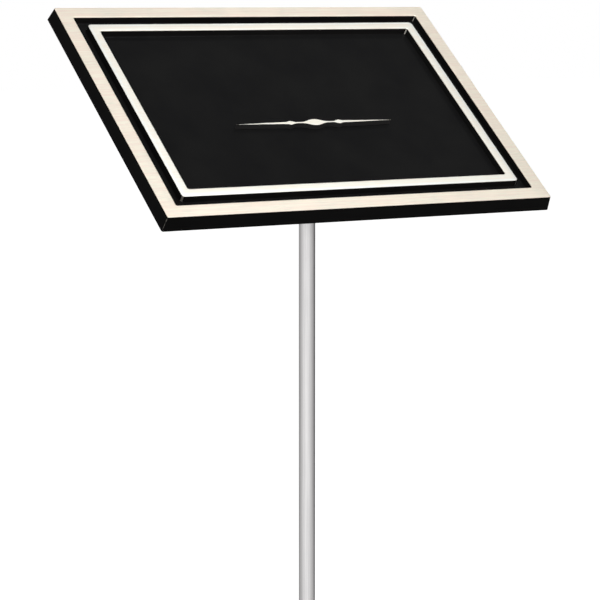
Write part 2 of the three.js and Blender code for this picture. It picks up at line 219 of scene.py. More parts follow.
class RuleSizes(bpy.types.PropertyGroup):
    """Sizes of the divider rule on the panel."""

    drop: length("Drop", "Centre of the rule below the centre of the plaque", 15.2)
    height: length("Height", "Relief above the panel", 3)
    draft: length("Draft", "Spread of the rule's foot on each side", 0.5)
    root: length("Root", "How far the rule reaches into the panel", 0.5)
    bare_depth: length("Bare depth", "How far down the rule's edges the metal is bare", 0.2)
    half_length: length("Half length", "From the middle to the tip of a needle", 51.5)
    needle: length("Needle", "Width of a needle at its bead", 1.85)
    tip: length("Tip", "Half width of a needle's tip", 0.02)
    link: length("Link", "Width of the bar between lozenge and beads", 0.9)
    bead_offset: length("Bead offset", "From the middle to a bead", 16.2)
    bead: length("Bead", "Width of a bead at its sharp middle", 3.3)
    bead_length: length("Bead length", "Length of a bead from point to point", 9.6)
    lozenge_length: length("Lozenge length", "Length of the lozenge with its drawn-out ends", 18)
    lozenge: length("Lozenge", "Width of the lozenge", 5.1)


class SocketSizes(bpy.types.PropertyGroup):
    """Sizes of the angled socket and its fasteners."""

    flange_thickness: length("Flange", "Thickness of the flange", 5)
    flange_corner: length("Flange corner", "Radius of the flange's corners", 9)
    flange_draft: length("Flange draft", "How far the flange's edge leans", 0.8)
    pad_diameter: length("Pad", "Diameter of the faced pads under the washers", 13)
    pad_height: length("Pad height", "Height of the faced pads", 0.8)
    hub_wall: length("Hub wall", "Wall of the hub at its mouth", 6.6)
    hub_flare: length("Hub flare", "Added to the hub's radius at the flange", 1.6)
    hub_chamfer: length("Hub chamfer", "Chamfer round the hub's mouth", 1.2)
    bore_depth: length("Bore depth", "Depth of the bore for the stake", 32)
    bore_chamfer: length("Bore chamfer", "Chamfer of the bore's mouth", 0.8)
    stake_gap: length("Gap", "Room round the stake and the screws in their holes", 0.3)
    web_thickness: length("Web", "Thickness of the web behind the hub", 7)
    web_reach: length("Web reach", "Run of the web along the flange", 17)
    web_drop: length("Web drop", "Run of the web down the hub", 15)
    cast_blend: length("Cast blend", "Fineness of the blended casting skin", 0.7)
    screw_key: length("Screw key", "Hexagon of the screws and set screws, across its flats", 3)
    screw_key_depth: length("Key depth", "Depth of the screws' hexagon", 1.6)
    screw_diameter: length("Screw", "Diameter of the screws' shanks", 5)
    screw_pitch: length("Screw pitch", "Pitch of the screws' threads", 0.8)
    screw_plain: length("Plain shank", "Shank without a thread, under a screw's head", 2)
    screw_crown: length("Screw crown", "Flat round a screw's hexagon", 5)
    screw_rim: length("Screw rim", "Straight edge under the domed head", 0.5)
    head_height: length("Head height", "Height of a screw's head", 2.8)
    set_screw_key_depth: length("Set screw key depth", "Depth of the set screws' hexagon", 3)
    set_screw_point: length("Set screw point", "Chamfer of a set screw's point", 1)
    set_screw_pitch: length("Set screw pitch", "Pitch of the set screws' threads", 1)
    set_screw_end: length("Set screw end", "Chamfer of a set screw's outer end", 0.45)
    washer_slit: length("Washer slit", "Width of the slit in a spring washer", 0.9)
    washer_slant: angle("Washer slant", "Slant of the slit in a spring washer", 20)
    edge: length("Edge", "Rounding of turned and machined edges", 0.15)


class StakeSizes(bpy.types.PropertyGroup):
    """Sizes of the ground stake."""

    point_length: length("Point length", "Length of the ground point", 32)
    tip_diameter: length("Tip", "Diameter of the blunted tip", 1.6)
    shoulder: length("Shoulder", "Half the length of the softened edge above the point", 1.5)
    top_chamfer: length("Top chamfer", "Chamfer of the upper end", 0.9)


class Finishes(bpy.types.PropertyGroup):
    """Colours of the finishes."""

    bronze: colour("Bronze", "Brushed outer border of the casting", 0.98, 0.87, 0.735)
    bronze_warm: colour("Bronze, warm", "Warm streaks in the brushed faces", 0.96, 0.8, 0.68)
    bronze_dull: colour("Bronze, dull", "Dull patches in the brushed faces", 0.78, 0.755, 0.64)
    polished: colour("Polished bronze", "Finer brushed inner border and rule", 1, 0.955, 0.865)
    polished_warm: colour("Polished bronze, warm", "Warm streaks in these", 0.99, 0.91, 0.8)
    # Bright edge: a paler, whiter tone that paints a highlight along the inner border's bevel
    bright: colour("Bright edge", "Bevel round the inner border", 1, 0.972, 0.915)
    enamel: colour("Enamel", "Black enamel of recesses", 0.0102, 0.0099, 0.0102)
    enamel_grey: colour("Enamel, rubbed", "Enamel where it is a little rubbed", 0.013, 0.0126, 0.0124)
    # Thin enamel: lighter than the enamel, painted fill light that lifts the shade on the rule's sides
    thin: colour("Thin enamel", "Enamel on the sides of the rule", 0.026, 0.0255, 0.026)
    thin_grey: colour("Thin enamel, rubbed", "The same where it is rubbed", 0.031, 0.0305, 0.03)
    paint: colour("Paint", "Matt black paint of the sides", 0.0045, 0.0045, 0.0046)
    paint_grey: colour("Paint, rubbed", "Paint where it is a little rubbed", 0.006, 0.006, 0.006)
    back: colour("Back", "Black paint on the rough back", 0.012, 0.012, 0.0125)
    back_grey: colour("Back, rubbed", "Back where its paint is rubbed thin", 0.03, 0.0295, 0.0285)
    casting: colour("Casting", "Aluminium of the socket", 0.52, 0.53, 0.54)
    casting_bright: colour("Casting, bright", "Socket where handling has polished it", 0.72, 0.72, 0.73)
    steel: colour("Steel", "Stainless steel of screws and washers", 0.62, 0.61, 0.59)
    steel_bright: colour("Steel, bright", "Polished edges of screws and washers", 0.8, 0.79, 0.77)
    stake: colour("Stake", "Drawn aluminium of the stake", 0.79, 0.79, 0.795)
    stake_dull: colour("Stake, dull", "Dull drawing lines of the stake", 0.66, 0.66, 0.668)


class Studio(bpy.types.PropertyGroup):
    """Camera, lights and floor."""

    azimuth: angle("Azimuth", "Side from which the camera looks", -31)
    elevation: angle("Elevation", "Height of the camera over the horizon", 7.275)
    distance: length("Distance", "From the camera to the plane of the plaque's centre", 1369.75)
    drop: length("Drop", "Centre of the picture below the plaque's centre", 113.2)
    aside: length("Aside", "Centre of the picture to the left of the plaque's centre", 2.9)
    lens: FloatProperty(
        name="Lens", description="Focal length on a 36 mm frame", default=142.97, unit="CAMERA"
    )
    key: power("Key", "Soft light over the plaque's front", 23.8)
    key_size: length("Key size", "Side of the key light", 900)
    key_offset: offset("Key offset", "From the plaque's face to the key light", 0.53, -0.87, 1.95)
    key_tint: colour("Key tint", "Colour of the key light", 0.88, 0.96, 1)
    back: power("Back", "Cool light from behind the plaque", 1.1)
    back_size: length("Back size", "Side of the back light", 300)
    back_offset: offset("Back offset", "From the plaque's face to the back light", 0.66, 0.7, 0.87)
    back_tint: colour("Back tint", "Colour of the back light", 0.94, 0.96, 1)
    bright_side: angle("Bright side", "Side of the room from which most light comes", -37)
    room_tint: colour("Room tint", "Colour of the room's light", 1, 0.985, 0.975)
    room_bright: glow("Room, bright side", "Brightness of the room's bright side", 1.22)
    room_dark: glow("Room, dark side", "Brightness of the room's dark side", 0.34)
    room_above: glow("Room, above", "Brightness of the ceiling", 0.18)
    room_below: glow("Room, below", "Brightness of the floor in reflections", 0.5)
    flag: angle("Flag", "Where the black screen on the right stands", 115)
    flag_glow: glow("Flag brightness", "Brightness of the black screen", 0.02)
    floor_glow: glow("Floor", "Brightness of the floor by itself", 0.9)
    floor_tone: colour("Floor tone", "Colour of the floor under the lights", 0.5, 0.5, 0.5)


class LawnPlaque(bpy.types.PropertyGroup):
    """All settings of the lawn plaque."""

    plaque: section("Plaque", PlaqueSizes)
    rule: section("Divider rule", RuleSizes)
    socket: section("Socket and fasteners", SocketSizes)
    stake: section("Stake", StakeSizes)
    finish: section("Finishes", Finishes)
    studio: section("Studio", Studio)


# Modelling by hand: small steps that every piece shares


def deselect():
    bpy.ops.object.select_all(action="DESELECT")


def hold(obj):
    """Makes obj the one selected and active object."""
    deselect()
    obj.select_set(True)
    bpy.context.view_layer.objects.active = obj


def pick(kind, test):
    """Selects those faces, edges or points of the mesh in edit mode that pass the test."""
    bpy.ops.mesh.select_mode(type=kind)
    bpy.ops.mesh.select_all(action="DESELECT")
    mesh = bmesh.from_edit_mesh(bpy.context.object.data)
    mesh.verts.index_update()
    for item in {"FACE": mesh.faces, "EDGE": mesh.edges, "VERT": mesh.verts}[kind]:
        item.select_set(test(item))
    mesh.select_flush_mode()
    bmesh.update_edit_mesh(bpy.context.object.data)


def picked_points():
    mesh = bmesh.from_edit_mesh(bpy.context.object.data)
    mesh.verts.index_update()
    return {v.index for v in mesh.verts if v.select}


def raise_to(centre, old, new):
    """Extrudes the selected face from one row to the next: a row is a width, a height and a level."""
    bpy.ops.mesh.extrude_region_move(TRANSFORM_OT_translate={"value": (0, 0, new[2] - old[2])})
    bpy.ops.transform.resize(
        value=(new[0] / old[0], new[1] / old[1], 1), center_override=(*centre, new[2])
    )


def round_corners(centre, row, radii, radius):
    """Scales each corner of the selected face about its sharp point, to the wanted radius."""
    loop = picked_points()
    for right in (-1, 1):
        for up in (-1, 1):
            sharp = (centre[0] + right * row[0] / 2, centre[1] + up * row[1] / 2, row[2])
            pick(
                "VERT",
                lambda v: v.index in loop
                and (v.co.x > 0) == (right > 0)
                and (v.co.y > 0) == (up > 0),
            )
            bpy.ops.transform.resize(
                value=(radius / radii[0], radius / radii[1], 1), center_override=sharp
            )
    pick("VERT", lambda v: v.index in loop)


def close_piece(name):
    """Leaves edit mode with all faces pointing out, and the place in the mesh."""
    bpy.ops.mesh.select_all(action="SELECT")
    bpy.ops.mesh.normals_make_consistent(inside=False)
    bpy.ops.object.mode_set(mode="OBJECT")
    bpy.ops.object.transform_apply(location=True, rotation=True, scale=True)
    piece = bpy.context.object
    rename(piece, name)
    return piece


def rename(piece, name):
    piece.name = name
    piece.data.name = name


def stacked_plate(name, centre, rows):
    """Solid through a stack of rounded rectangles: each row is a width, height, level and radius."""
    *first, radius = rows[0]
    deselect()
    bpy.ops.mesh.primitive_plane_add(size=1, location=(*centre, first[2]))
    bpy.ops.object.mode_set(mode="EDIT")
    bpy.ops.transform.resize(value=(first[0], first[1], 1), center_override=(*centre, first[2]))
    bpy.ops.mesh.bevel(offset=radius, segments=CORNER_STEPS, affect="VERTICES")
    bpy.ops.mesh.select_all(action="SELECT")
    old = first
    for *new, next_radius in rows[1:]:
        raise_to(centre, old, new)
        round_corners(centre, new, (radius * new[0] / old[0], radius * new[1] / old[1]), next_radius)
        old, radius = new, next_radius
    return close_piece(name)


def turned(name, profile, sides=TURNED_SIDES, centre=(0, 0)):
    """Solid turned about an upright axis, from radius and level pairs."""
    radius, level = profile[0]
    deselect()
    bpy.ops.mesh.primitive_circle_add(
        vertices=sides, radius=radius, fill_type="NGON", location=(*centre, level)
    )
    bpy.ops.object.mode_set(mode="EDIT")
    bpy.ops.mesh.select_all(action="SELECT")
    old = (radius, radius, level)
    for radius, level in profile[1:]:
        new = (radius, radius, level)
        raise_to(centre, old, new)
        old = new
    return close_piece(name)


def block(name, centre, size):
    """Square-edged block, to be cut or to cut with."""
    deselect()
    bpy.ops.mesh.primitive_cube_add(size=1, location=centre)
    bpy.ops.object.mode_set(mode="EDIT")
    bpy.ops.transform.resize(value=size)
    return close_piece(name)


def finish_with(piece, kind, **values):
    """Adds a modifier with these values and applies it."""
    hold(piece)
    bpy.ops.object.modifier_add(type=kind)
    modifier = piece.modifiers[-1]
    for key, value in values.items():
        setattr(modifier, key, value)
    bpy.ops.object.modifier_apply(modifier=modifier.name)


def combine(piece, other, operation):
    """Joins other to the piece or cuts it out, and takes other away."""
    finish_with(piece, "BOOLEAN", object=other, operation=operation, solver="EXACT")
    bpy.data.objects.remove(other)
    if not piece.data.polygons:
        raise RuntimeError(f"{piece.name} was lost in a {operation}")


def break_edges(piece, width):
    """Rounds the sharp edges of a piece."""
    finish_with(
        piece,
        "BEVEL",
        width=width,
        segments=EDGE_STEPS,
        limit_method="ANGLE",
        angle_limit=SMOOTH_ANGLE,
    )


def smooth(piece):
    """Smooth shading that keeps flat faces flat beside their roundings."""
    hold(piece)
    bpy.ops.object.shade_smooth_by_angle(angle=SMOOTH_ANGLE)
    finish_with(piece, "WEIGHTED_NORMAL", keep_sharp=True)


def place(piece, matrix):
    """Moves a piece, and puts its place in its mesh."""
    hold(piece)
    piece.matrix_world = matrix
    bpy.ops.object.transform_apply(location=True, rotation=True, scale=True)


def copy_of(piece, name, matrix):
    """A copy of the piece with its own mesh, moved by the matrix."""
    twin = piece.copy()
    twin.data = piece.data.copy()
    rename(twin, name)
    bpy.context.collection.objects.link(twin)
    place(twin, matrix)
    return twin


def sideways(y, z):
    """Turns a piece from the z axis to point backwards, and moves it to this place."""
    return Matrix.Translation((0, y, z)) @ Matrix.Rotation(-math.pi / 2, 4, "X")


def arc(centre, radius, start, end, steps=ARC_STEPS):
    """Points of an arc between two angles in degrees."""
    for step in range(steps + 1):
        turn = math.radians(start + (end - start) * step / steps)
        yield centre[0] + radius * math.cos(turn), centre[1] + radius * math.sin(turn)


def dress(piece, node, body, material):
    """Gives a piece its material and the body that it rides on, and hides the node that it stands for.
    """
    piece.data.materials.append(material)
    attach(piece, body)
    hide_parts(node)


# Finishes

# Sockets of a mix node, by number because their names repeat
MIX_VALUES = (2, 3)
MIX_COLOURS = (6, 7)
MIX_VALUE_OUT = 0
MIX_COLOUR_OUT = 2

# Sizes of single marks, along x, y and z
BRUSH_STROKE = (30 * MM, 0.9 * MM, 0.9 * MM)
TURNING_MARK = (0.6 * MM, 0.6 * MM, 0.1 * MM)
DRAWING_LINE = (0.7 * MM, 0.7 * MM, 60 * MM)

# Range that most of the hairline noise keeps to
HAIRLINE_RANGE = (0.3, 0.7)

# Share of round cells in the grain of a casting, and breaks in worn edges to a metre
CELL_SHARE = 0.3
WEAR_BREAKS = 900


def feed(tree, socket, value):
    """Links another socket to this one, or sets its value."""
    if isinstance(value, bpy.types.NodeSocket):
        tree.links.new(value, socket)
    else:
        socket.default_value = value


def node(tree, kind, values=None, **settings):
    """A new node with its settings, and with values on its sockets or links into them."""
    made = tree.nodes.new(kind)
    for key, value in settings.items():
        setattr(made, key, value)
    for key, value in (values or {}).items():
        feed(tree, made.inputs[key], value)
    return made


def math_node(tree, operation, *values):
    return node(tree, "ShaderNodeMath", dict(enumerate(values)), operation=operation).outputs[0]


def ranged(tree, value, given, wanted=(0, 1)):
    """The value, mapped from one range to another and held inside it."""
    values = {
        "Value": value,
        "From Min": given[0],
        "From Max": given[1],
        "To Min": wanted[0],
        "To Max": wanted[1],
    }
    return node(tree, "ShaderNodeMapRange", values).outputs["Result"]


def between(tree, factor, first, second):
    """Value between two others."""
    values = {"Factor": factor, **dict(zip(MIX_VALUES, (first, second)))}
    return node(tree, "ShaderNodeMix", values, data_type="FLOAT").outputs[MIX_VALUE_OUT]


def blended(tree, factor, first, second):
    """Colour between two others."""
    made = node(tree, "ShaderNodeMix", {"Factor": factor}, data_type="RGBA")
    for key, value in zip(MIX_COLOURS, (first, second)):
        feed(tree, made.inputs[key], value if isinstance(value, bpy.types.NodeSocket) else (*value, 1))
    return made.outputs[MIX_COLOUR_OUT]


def noise(tree, spot, scale, detail, roughness=0.5):
    values = {"Vector": spot, "Scale": scale, "Detail": detail, "Roughness": roughness}
    return node(tree, "ShaderNodeTexNoise", values).outputs["Fac"]


def new_group(name, values, outputs):
    """An empty node group that takes a place and these values, and the sockets of its two ends."""
    group = bpy.data.node_groups.new(name, "ShaderNodeTree")
    group.interface.new_socket("Place", in_out="INPUT", socket_type="NodeSocketVector")
    for label, value in values.items():
        socket = group.interface.new_socket(label, in_out="INPUT", socket_type="NodeSocketFloat")
        socket.default_value = value
    for label in outputs:
        group.interface.new_socket(label, in_out="OUTPUT", socket_type="NodeSocketFloat")
    return group, node(group, "NodeGroupInput").outputs, node(group, "NodeGroupOutput").inputs


def brush_marks_group():
    """Broad soft streaks and fine hairlines, in coordinates stretched along them."""
    group, given, out = new_group("brush_marks", {"Hairlines": 5}, ["Streaks", "Hairlines"])
    feed(group, out["Streaks"], noise(group, given["Place"], scale=1, detail=3, roughness=0.55))
    hairlines = noise(group, given["Place"], given["Hairlines"], detail=2, roughness=0.6)
    feed(group, out["Hairlines"], hairlines)
    return group


def cast_grain_group():
    """Skin of a casting: rounded grain with a few pits."""
    group, given, out = new_group("cast_grain", {"Grain": 1000}, ["Height", "Pits"])
    swell = noise(group, given["Place"], given["Grain"], detail=4, roughness=0.6)
    cells = node(
        group,
        "ShaderNodeTexVoronoi",
        {"Vector": given["Place"], "Scale": given["Grain"], "Smoothness": 0.6},
        feature="SMOOTH_F1",
    ).outputs["Distance"]
    rounded = math_node(group, "MULTIPLY", cells, CELL_SHARE)
    feed(group, out["Height"], math_node(group, "MULTIPLY_ADD", swell, 1 - CELL_SHARE, rounded))
    feed(group, out["Pits"], ranged(group, swell, given=(0.34, 0.27)))
    return group


def handling_group():
    """Soft cloudy patches left by handling and cleaning."""
    group, given, out = new_group("handling", {"Patches": 30}, ["Patches"])
    cloud = noise(group, given["Place"], given["Patches"], detail=3)
    feed(group, out["Patches"], ranged(group, cloud, given=(0.35, 0.65)))
    return group


def edge_wear_group():
    """Mask of the sharp outward edges, broken up by a fine noise."""
    group, given, out = new_group("edge_wear", {"From": 0.52, "To": 0.58}, ["Mask"])
    point = node(group, "ShaderNodeNewGeometry").outputs["Pointiness"]
    edge = ranged(group, point, (given["From"], given["To"]))
    speckle = noise(group, given["Place"], WEAR_BREAKS, detail=2)
    breaks = ranged(group, speckle, given=(0.35, 0.55), wanted=(0.3, 1))
    feed(group, out["Mask"], math_node(group, "MULTIPLY", edge, breaks))
    return group


def use_group(tree, maker, **values):
    """Outputs of a group that its maker builds once, in use with these values."""
    group = bpy.data.node_groups.get(maker.__name__.removesuffix("_group")) or maker()
    return node(tree, "ShaderNodeGroup", values, node_tree=group).outputs


def new_material(name, **constants):
    """A material with a Principled shader, and its constant sockets set."""
    made = bpy.data.materials.new(name)
    made.use_nodes = True
    tree = made.node_tree
    tree.nodes.clear()
    shader = node(tree, "ShaderNodeBsdfPrincipled", constants)
    node(tree, "ShaderNodeOutputMaterial", {"Surface": shader.outputs["BSDF"]})
    return made, tree, shader.inputs


def surface(tree, into, tone, roughness, normal):
    """Feeds a shader's colour, roughness and normal."""
    feed(tree, into["Base Color"], tone)
    feed(tree, into["Roughness"], roughness)
    feed(tree, into["Normal"], normal)


def object_place(tree):
    return node(tree, "ShaderNodeTexCoord").outputs["Object"]


def plaque_place(tree):
    """Object coordinates turned to the plaque's own axes."""
    shift = -(Matrix.Rotation(-LEAN, 3, "X") @ PLAQUE_FRAME.translation)
    values = {"Vector": object_place(tree), "Rotation": (-LEAN, 0, 0), "Location": shift}
    return node(tree, "ShaderNodeMapping", values).outputs["Vector"]


def stretched(tree, spot, sizes):
    """Coordinates scaled so that a pattern of one unit has these sizes."""
    values = {"Vector": spot, "Scale": [1 / size for size in sizes]}
    return node(tree, "ShaderNodeMapping", values).outputs["Vector"]


def bumped(tree, height, strength, depth):
    values = {"Height": height, "Strength": strength, "Distance": depth}
    return node(tree, "ShaderNodeBump", values).outputs["Normal"]


def bare_bronze(name, tones, roughness):
    """Bare metal brushed along the plaque: its plain, warm and dull tones, and its roughness."""
    plain, warm, dull = tones
    made, tree, into = new_material(name, Metallic=1)
    plaque = plaque_place(tree)
    marks = use_group(tree, brush_marks_group, Place=stretched(tree, plaque, BRUSH_STROKE))
    patches = use_group(tree, handling_group, Place=plaque, Patches=45)
    streaked = blended(tree, ranged(tree, marks["Streaks"], given=(0.42, 0.6)), plain, warm)
    scratches = ranged(tree, marks["Hairlines"], given=(0.4, 0.65), wanted=(0, 0.7))
    dullness = math_node(tree, "MULTIPLY", patches["Patches"], scratches)
    surface(
        tree,
        into,
        blended(tree, dullness, streaked, dull),
        ranged(tree, marks["Hairlines"], HAIRLINE_RANGE, roughness),
        bumped(tree, marks["Hairlines"], strength=0.25, depth=0.02 * MM),
    )
    return made


def brushed_bronze(finish):
    """Outer border, brushed and lacquered."""
    tones = (finish.bronze, finish.bronze_warm, finish.bronze_dull)
    return bare_bronze("brushed_bronze", tones, roughness=(0.5, 0.64))


def polished_bronze(finish):
    """Inner border and divider rule, brushed with a finer belt, and paler."""
    tones = (finish.polished, finish.polished_warm, finish.bronze)
    return bare_bronze("polished_bronze", tones, roughness=(0.48, 0.6))


def painted_highlight_bevel(finish):
    """Bevel round the inner border, paler and whiter than the border: a painted highlight along its
    edge.
    """
    tones = (finish.bright, finish.polished, finish.polished_warm)
    return bare_bronze("painted_highlight_bevel", tones, roughness=(0.44, 0.56))


def black_paint(name, tones, shine, grain, roughness, strength, depth):
    """Black paint over a cast skin, whose bumps have a strength and a depth."""
    made, tree, into = new_material(name, **{"Specular IOR Level": shine})
    plaque = plaque_place(tree)
    skin = use_group(tree, cast_grain_group, Place=plaque, Grain=grain)
    patches = use_group(tree, handling_group, Place=plaque)
    tone = blended(tree, patches["Patches"], *tones)
    surface(
        tree,
        into,
        blended(tree, skin["Pits"], tone, tones[0]),
        ranged(tree, skin["Height"], given=(0.3, 0.8), wanted=roughness),
        bumped(tree, skin["Height"], strength, depth),
    )
    return made


def black_enamel(finish):
    """Glossy black enamel flowed into the recesses."""
    tones = (finish.enamel, finish.enamel_grey)
    return black_paint(
        "black_enamel",
        tones,
        shine=0.05,
        grain=500,
        roughness=(0.12, 0.18),
        strength=0.05,
        depth=0.01 * MM,
    )


def shade_lifted_rule_enamel(finish):
    """Sides of the divider rule, in enamel painted lighter to lift the shade on them: painted fill
    light.
    """
    tones = (finish.thin, finish.thin_grey)
    return black_paint(
        "shade_lifted_rule_enamel",
        tones,
        shine=0.05,
        grain=500,
        roughness=(0.3, 0.4),
        strength=0.05,
        depth=0.01 * MM,
    )


def matt_black(finish):
    """Matt black paint on the cast skin of the sides."""
    tones = (finish.paint, finish.paint_grey)
    return black_paint(
        "matt_black",
        tones,
        shine=0.015,
        grain=900,
        roughness=(0.32, 0.5),
        strength=0.35,
        depth=0.06 * MM,
    )


def cast_back(finish):
    """Satin black paint on the rough cast back."""
    tones = (finish.back, finish.back_grey)
    return black_paint(
        "cast_back",
        tones,
        shine=0.3,
        grain=700,
        roughness=(0.42, 0.6),
        strength=0.6,
        depth=0.12 * MM,
    )


def worn_paint(name, tones, spots, share):
    """Black paint with metal in small spots, with a least and a full share of metal: worn paint, and
    painted glints where the metal stands in for them.
    """
    made, tree, into = new_material(name, **{"Specular IOR Level": 0.22})
    # The metal spots are partly worn paint and partly painted glints
    rubs = use_group(tree, handling_group, Place=plaque_place(tree), Patches=700)["Patches"]
    bare = ranged(tree, rubs, spots, share)
    feed(tree, into["Base Color"], blended(tree, bare, *tones))
    feed(tree, into["Metallic"], bare)
    feed(tree, into["Roughness"], ranged(tree, rubs, given=(0, 1), wanted=(0.3, 0.45)))
    return made


def worn_glint_corner(finish):
    """Outside corners of the casting, a little rubbed to the metal; the metal there also paints the
    highlights along these edges.
    """
    tones = (finish.enamel, finish.bronze_dull)
    return worn_paint("worn_glint_corner", tones, spots=(0.35, 1), share=(0.01, 0.2))


def painted_glint_corner(finish):
    """Corners of the recesses, with polished metal in spots: painted glints that stand in for the
    enamel's glints there.
    """
    tones = (finish.enamel, finish.polished)
    return worn_paint("painted_glint_corner", tones, spots=(0.1, 0.7), share=(0.4, 1))


def cast_aluminium(finish):
    """Blasted skin of the socket casting."""
    made, tree, into = new_material("cast_aluminium", Metallic=1)
    spot = object_place(tree)
    grain = use_group(tree, cast_grain_group, Place=spot, Grain=1400)
    wear = use_group(tree, edge_wear_group, Place=spot)
    patches = use_group(tree, handling_group, Place=spot, Patches=60)
    blasted = ranged(tree, grain["Height"], given=(0.3, 0.7))
    tone = blended(tree, blasted, finish.casting, finish.casting_bright)
    surface(
        tree,
        into,
        blended(tree, wear["Mask"], tone, finish.casting_bright),
        ranged(tree, patches["Patches"], given=(0, 1), wanted=(0.46, 0.58)),
        bumped(tree, grain["Height"], strength=0.4, depth=0.08 * MM),
    )
    return made


def turned_steel(finish):
    """Stainless steel of screws, washers and set screws, with fine turning marks."""
    made, tree, into = new_material("turned_steel", Metallic=1)
    spot = object_place(tree)
    marks = use_group(tree, brush_marks_group, Place=stretched(tree, spot, TURNING_MARK))
    wear = use_group(tree, edge_wear_group, Place=spot)
    tone = blended(tree, marks["Streaks"], finish.steel, finish.steel_bright)
    surface(
        tree,
        into,
        blended(tree, wear["Mask"], tone, finish.steel_bright),
        ranged(tree, marks["Hairlines"], HAIRLINE_RANGE, wanted=(0.2, 0.34)),
        bumped(tree, marks["Hairlines"], strength=0.2, depth=0.01 * MM),
    )
    return made


def drawn_aluminium(finish):
    """Satin drawn rod of the stake, with drawing lines along it."""
    made, tree, into = new_material("drawn_aluminium", Metallic=1)
    spot = object_place(tree)
    marks = use_group(tree, brush_marks_group, Place=stretched(tree, spot, DRAWING_LINE))
    patches = use_group(tree, handling_group, Place=spot, Patches=40)
    streaks = ranged(tree, marks["Streaks"], given=(0.35, 0.7))
    lined = ranged(tree, marks["Hairlines"], HAIRLINE_RANGE, wanted=(0.32, 0.36))
    smudged = ranged(tree, patches["Patches"], given=(0, 1), wanted=(0, 0.05))
    surface(
        tree,
        into,
        blended(tree, streaks, finish.stake, finish.stake_dull),
        math_node(tree, "ADD", lined, smudged),
        bumped(tree, marks["Hairlines"], strength=0.1, depth=0.005 * MM),
    )
    return made


def finished(maker):
    """The material that a maker builds, built once."""
    return bpy.data.materials.get(maker.__name__) or maker(bpy.context.scene.lawn_plaque.finish)


# Plaque


def casting_profile(sizes):
    """Section of the relief from the back's edge to the panel: insets, levels and corner radii."""
    back = FACE_LEVEL - sizes.plate_thickness
    rim, eased, foot, draft = sizes.rim_radius, sizes.eased_radius, sizes.foot_radius, sizes.wall_draft
    face_edge = sizes.side_draft
    groove_edge = face_edge + sizes.outer_border
    inner_edge = groove_edge + sizes.groove
    panel_edge = inner_edge + sizes.inner_border
    rows = []

    def follow(points, radius):
        rows.extend((inset, level, radius) for inset, level in points)

    def wall_down(edge, radius):
        """Over an eased edge and down a wall to its rounded foot."""
        follow(arc((edge - eased, FACE_LEVEL - eased), eased, 90, 0), radius)
        follow(arc((edge + draft + foot, foot), foot, 180, 270), radius)

    def wall_up(edge, radius):
        """From the rounded foot of a wall, where its corners are wider, up to its rim and bevel."""
        for inset, level in arc((edge - draft - foot, foot), foot, 270, 360):
            rows.append((inset, level, radius + edge - inset))
        follow(arc((edge + rim, FACE_LEVEL - sizes.bevel_drop - rim), rim, 180, 90), radius)
        follow([(edge + sizes.bevel, FACE_LEVEL)], radius)

    follow([(sizes.back_edge, back), (0, back + sizes.back_edge)], sizes.plate_corner)
    follow(arc((face_edge + rim, FACE_LEVEL - sizes.sanded - rim), rim, 180, 90), sizes.plate_corner)
    wall_down(groove_edge, sizes.groove_corner)
    wall_up(inner_edge, sizes.inner_corner)
    wall_down(panel_edge, sizes.panel_corner)
    return rows


def plaque_plate(sizes):
    """Plate and relief of the face, extruded from row to row of its section."""
    width, height = PLAQUE_SIZE.x, PLAQUE_SIZE.y
    rows = [
        (width - 2 * inset, height - 2 * inset, level, radius)
        for inset, level, radius in casting_profile(sizes)
    ]
    return stacked_plate("plaque", PLAQUE_CENTRE.xy, rows)


def rule_half_width(sizes, x):
    """Half of the divider rule's width at the distance x from its middle."""
    x = abs(x)
    reach = sizes.lozenge_length / 2
    swell = (1 + math.cos(math.pi * min(x / reach, 1))) / 2
    lozenge = sizes.link / 2 + (sizes.lozenge - sizes.link) / 2 * swell
    bead = sizes.bead / 2 * (1 - abs(x - sizes.bead_offset) / (sizes.bead_length / 2))
    needle = sizes.needle / 2 * (sizes.half_length - x) / (sizes.half_length - sizes.bead_offset)
    return max(bead, lozenge if x < sizes.bead_offset else needle, sizes.tip)


def divider_rule(sizes):
    """Traditional rule: a lozenge with drawn-out ends, two beads and two long needles."""
    half, level = sizes.half_length, sizes.height
    columns = math.prod(cuts + 1 for cuts in RULE_CUTS)
    near = half / columns / 2
    y = PLAQUE_CENTRE.y - sizes.drop
    deselect()
    bpy.ops.mesh.primitive_plane_add(size=1, location=(0, y, level))
    bpy.ops.object.mode_set(mode="EDIT")
    bpy.ops.transform.resize(value=(2 * half, 1, 1), center_override=(0, y, level))
    for cuts in RULE_CUTS:
        pick("EDGE", lambda e: e.verts[0].co.x != e.verts[1].co.x)
        bpy.ops.mesh.subdivide(number_cuts=cuts)
    pick("FACE", lambda f: True)
    bpy.ops.mesh.extrude_region_move(TRANSFORM_OT_translate={"value": (0, 0, -level - sizes.root)})
    for column in range(columns + 1):
        x = half * (2 * column / columns - 1)
        for foot, spread in ((False, 0), (True, sizes.draft)):
            pick("VERT", lambda v: abs(v.co.x - x) < near and (v.co.z < -sizes.root) == foot)
            width = 2 * (rule_half_width(sizes, x) + spread)
            bpy.ops.transform.resize(value=(1, width, 1), center_override=(0, y, level))
    return close_piece("divider_rule")


def screw_spots():
    """Middle of each screw on the plaque's back."""
    return [middle(leaning_box(name)).xy for name in SCREWS]


